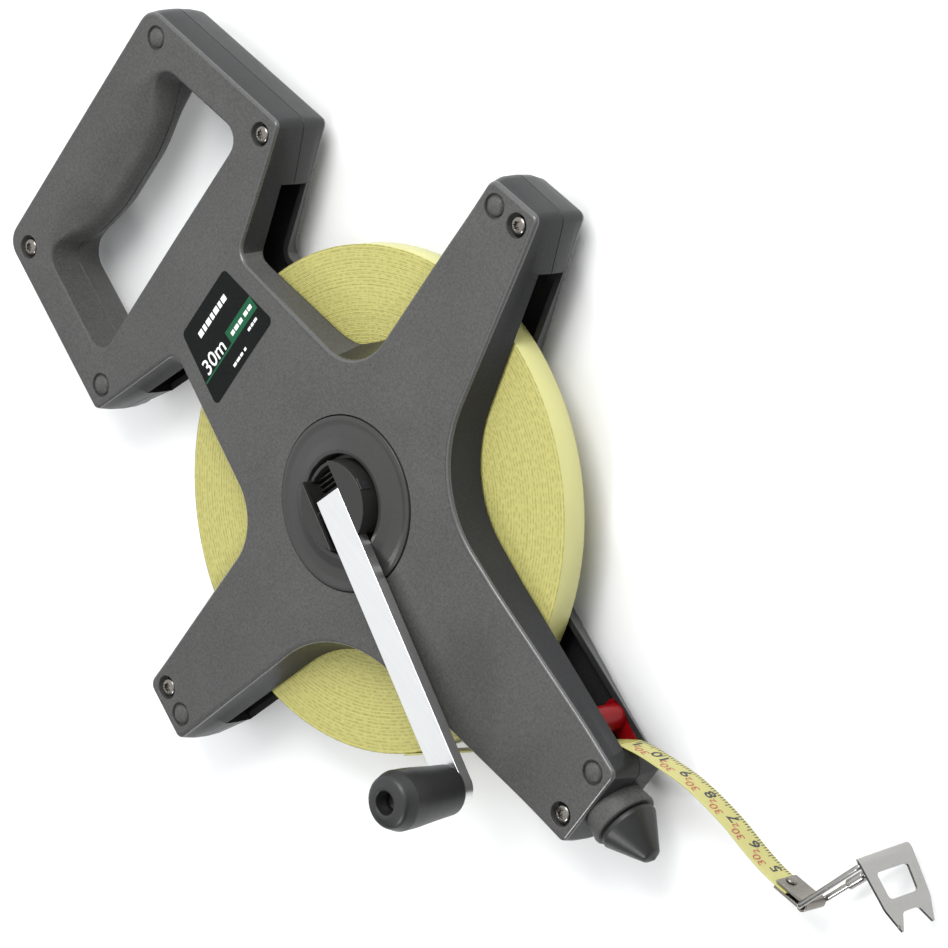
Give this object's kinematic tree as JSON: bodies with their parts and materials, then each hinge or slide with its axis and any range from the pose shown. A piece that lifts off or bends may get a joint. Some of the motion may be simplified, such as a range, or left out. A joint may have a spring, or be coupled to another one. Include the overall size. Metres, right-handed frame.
{
  "type": "surveyor tape reel",
  "caption": "Open four-arm reel frame with a closed handle, wound measuring tape, fold-down crank with knob, ground spike, and a clipped tape end with a link and hook.",
  "frame": {"origin": "on the reel axis, at the flat face of the rear hub cap that the reel lies on", "axes": "+Z along the reel axis, from the rear cap towards the crank; +X towards the tape mouth and the ground spike, away from the handle; +Y towards the side that the tape leaves on"},
  "size_m": [0.3976, 0.2408, 0.071],
  "materials": {
    "frame_plastic": "fine-grained moulded plastic, dark warm grey",
    "black_plastic": "satin black moulded plastic",
    "tape_coat": "pale yellow coated steel tape with black and red divisions",
    "red_plastic": "glossy red moulded plastic",
    "bare_aluminium": "drawn flat bar, satin",
    "bright_steel": "plated steel",
    "nickel_steel": "nickel-plated steel",
    "label_film": "printed film, black with a green band",
    "nylon": "natural nylon"
  },
  "bodies": {
    "frame": {"front_shell_hub": "frame_plastic", "front_shell_upper_arm": "frame_plastic", "front_shell_lower_arm": "frame_plastic", "front_shell_handle": "frame_plastic", "front_shell_mouth_arm": "frame_plastic", "rear_shell_hub": "frame_plastic", "rear_shell_upper_arm": "frame_plastic", "rear_shell_lower_arm": "frame_plastic", "rear_shell_handle": "frame_plastic", "rear_shell_mouth_arm": "frame_plastic", "front_screw_grip_outer": "bright_steel", "front_screw_grip_inner": "bright_steel", "front_screw_upper_arm": "bright_steel", "front_screw_lower_arm": "bright_steel", "front_screw_mouth": "bright_steel", "rear_screw_grip_outer": "bright_steel", "rear_screw_grip_inner": "bright_steel", "rear_screw_upper_arm": "bright_steel", "rear_screw_lower_arm": "bright_steel", "rear_screw_mouth": "bright_steel", "label": "label_film", "hub_collar": "frame_plastic", "rear_cap": "frame_plastic", "front_thrust_washer": "nylon", "rear_thrust_washer": "nylon", "axle": "bright_steel", "tape_guide": "red_plastic", "ground_spike": "black_plastic", "tape_lead": "tape_coat", "tape_blade": "tape_coat", "end_clip": "nickel_steel", "clip_rivet": "bright_steel"},
    "reel": {"tape_drum": "black_plastic", "tape_winding": "tape_coat", "crank_hub": "black_plastic", "crank_hinge_pin": "bright_steel"},
    "crank": {"crank_arm": "bare_aluminium", "knob_rivet": "bright_steel"},
    "knob": {"crank_knob": "black_plastic"},
    "link": {"link_ring": "nickel_steel", "link_sleeve": "nickel_steel"},
    "hook": {"tape_hook": "nickel_steel"}
  },
  "joints": [
    {"name": "reel_spin", "type": "hinge", "parent": "frame", "child": "reel", "pos_m": [0, 0, 0.0185], "axis": [0, 0, 1], "continuous": true},
    {"name": "crank_fold", "type": "hinge", "parent": "reel", "child": "crank", "pos_m": [-0.00048, 0.00015, 0.0391], "axis": [-0.2924, -0.9563, 0], "range_deg": [0, 150]},
    {"name": "knob_spin", "type": "hinge", "parent": "crank", "child": "knob", "pos_m": [0.09238, -0.02824, 0.055], "axis": [0, 0, 1], "continuous": true},
    {"name": "link_swing", "type": "hinge", "parent": "frame", "child": "link", "pos_m": [0.1943, 0.0316, 0.012], "axis": [0, 0, 1], "range_deg": [-110, 60]},
    {"name": "hook_swing", "type": "hinge", "parent": "link", "child": "hook", "pos_m": [0.2025, 0.0618, 0.012], "axis": [-0.0959, -0.3283, 0.9397], "range_deg": [-85, 0]}
  ]
}
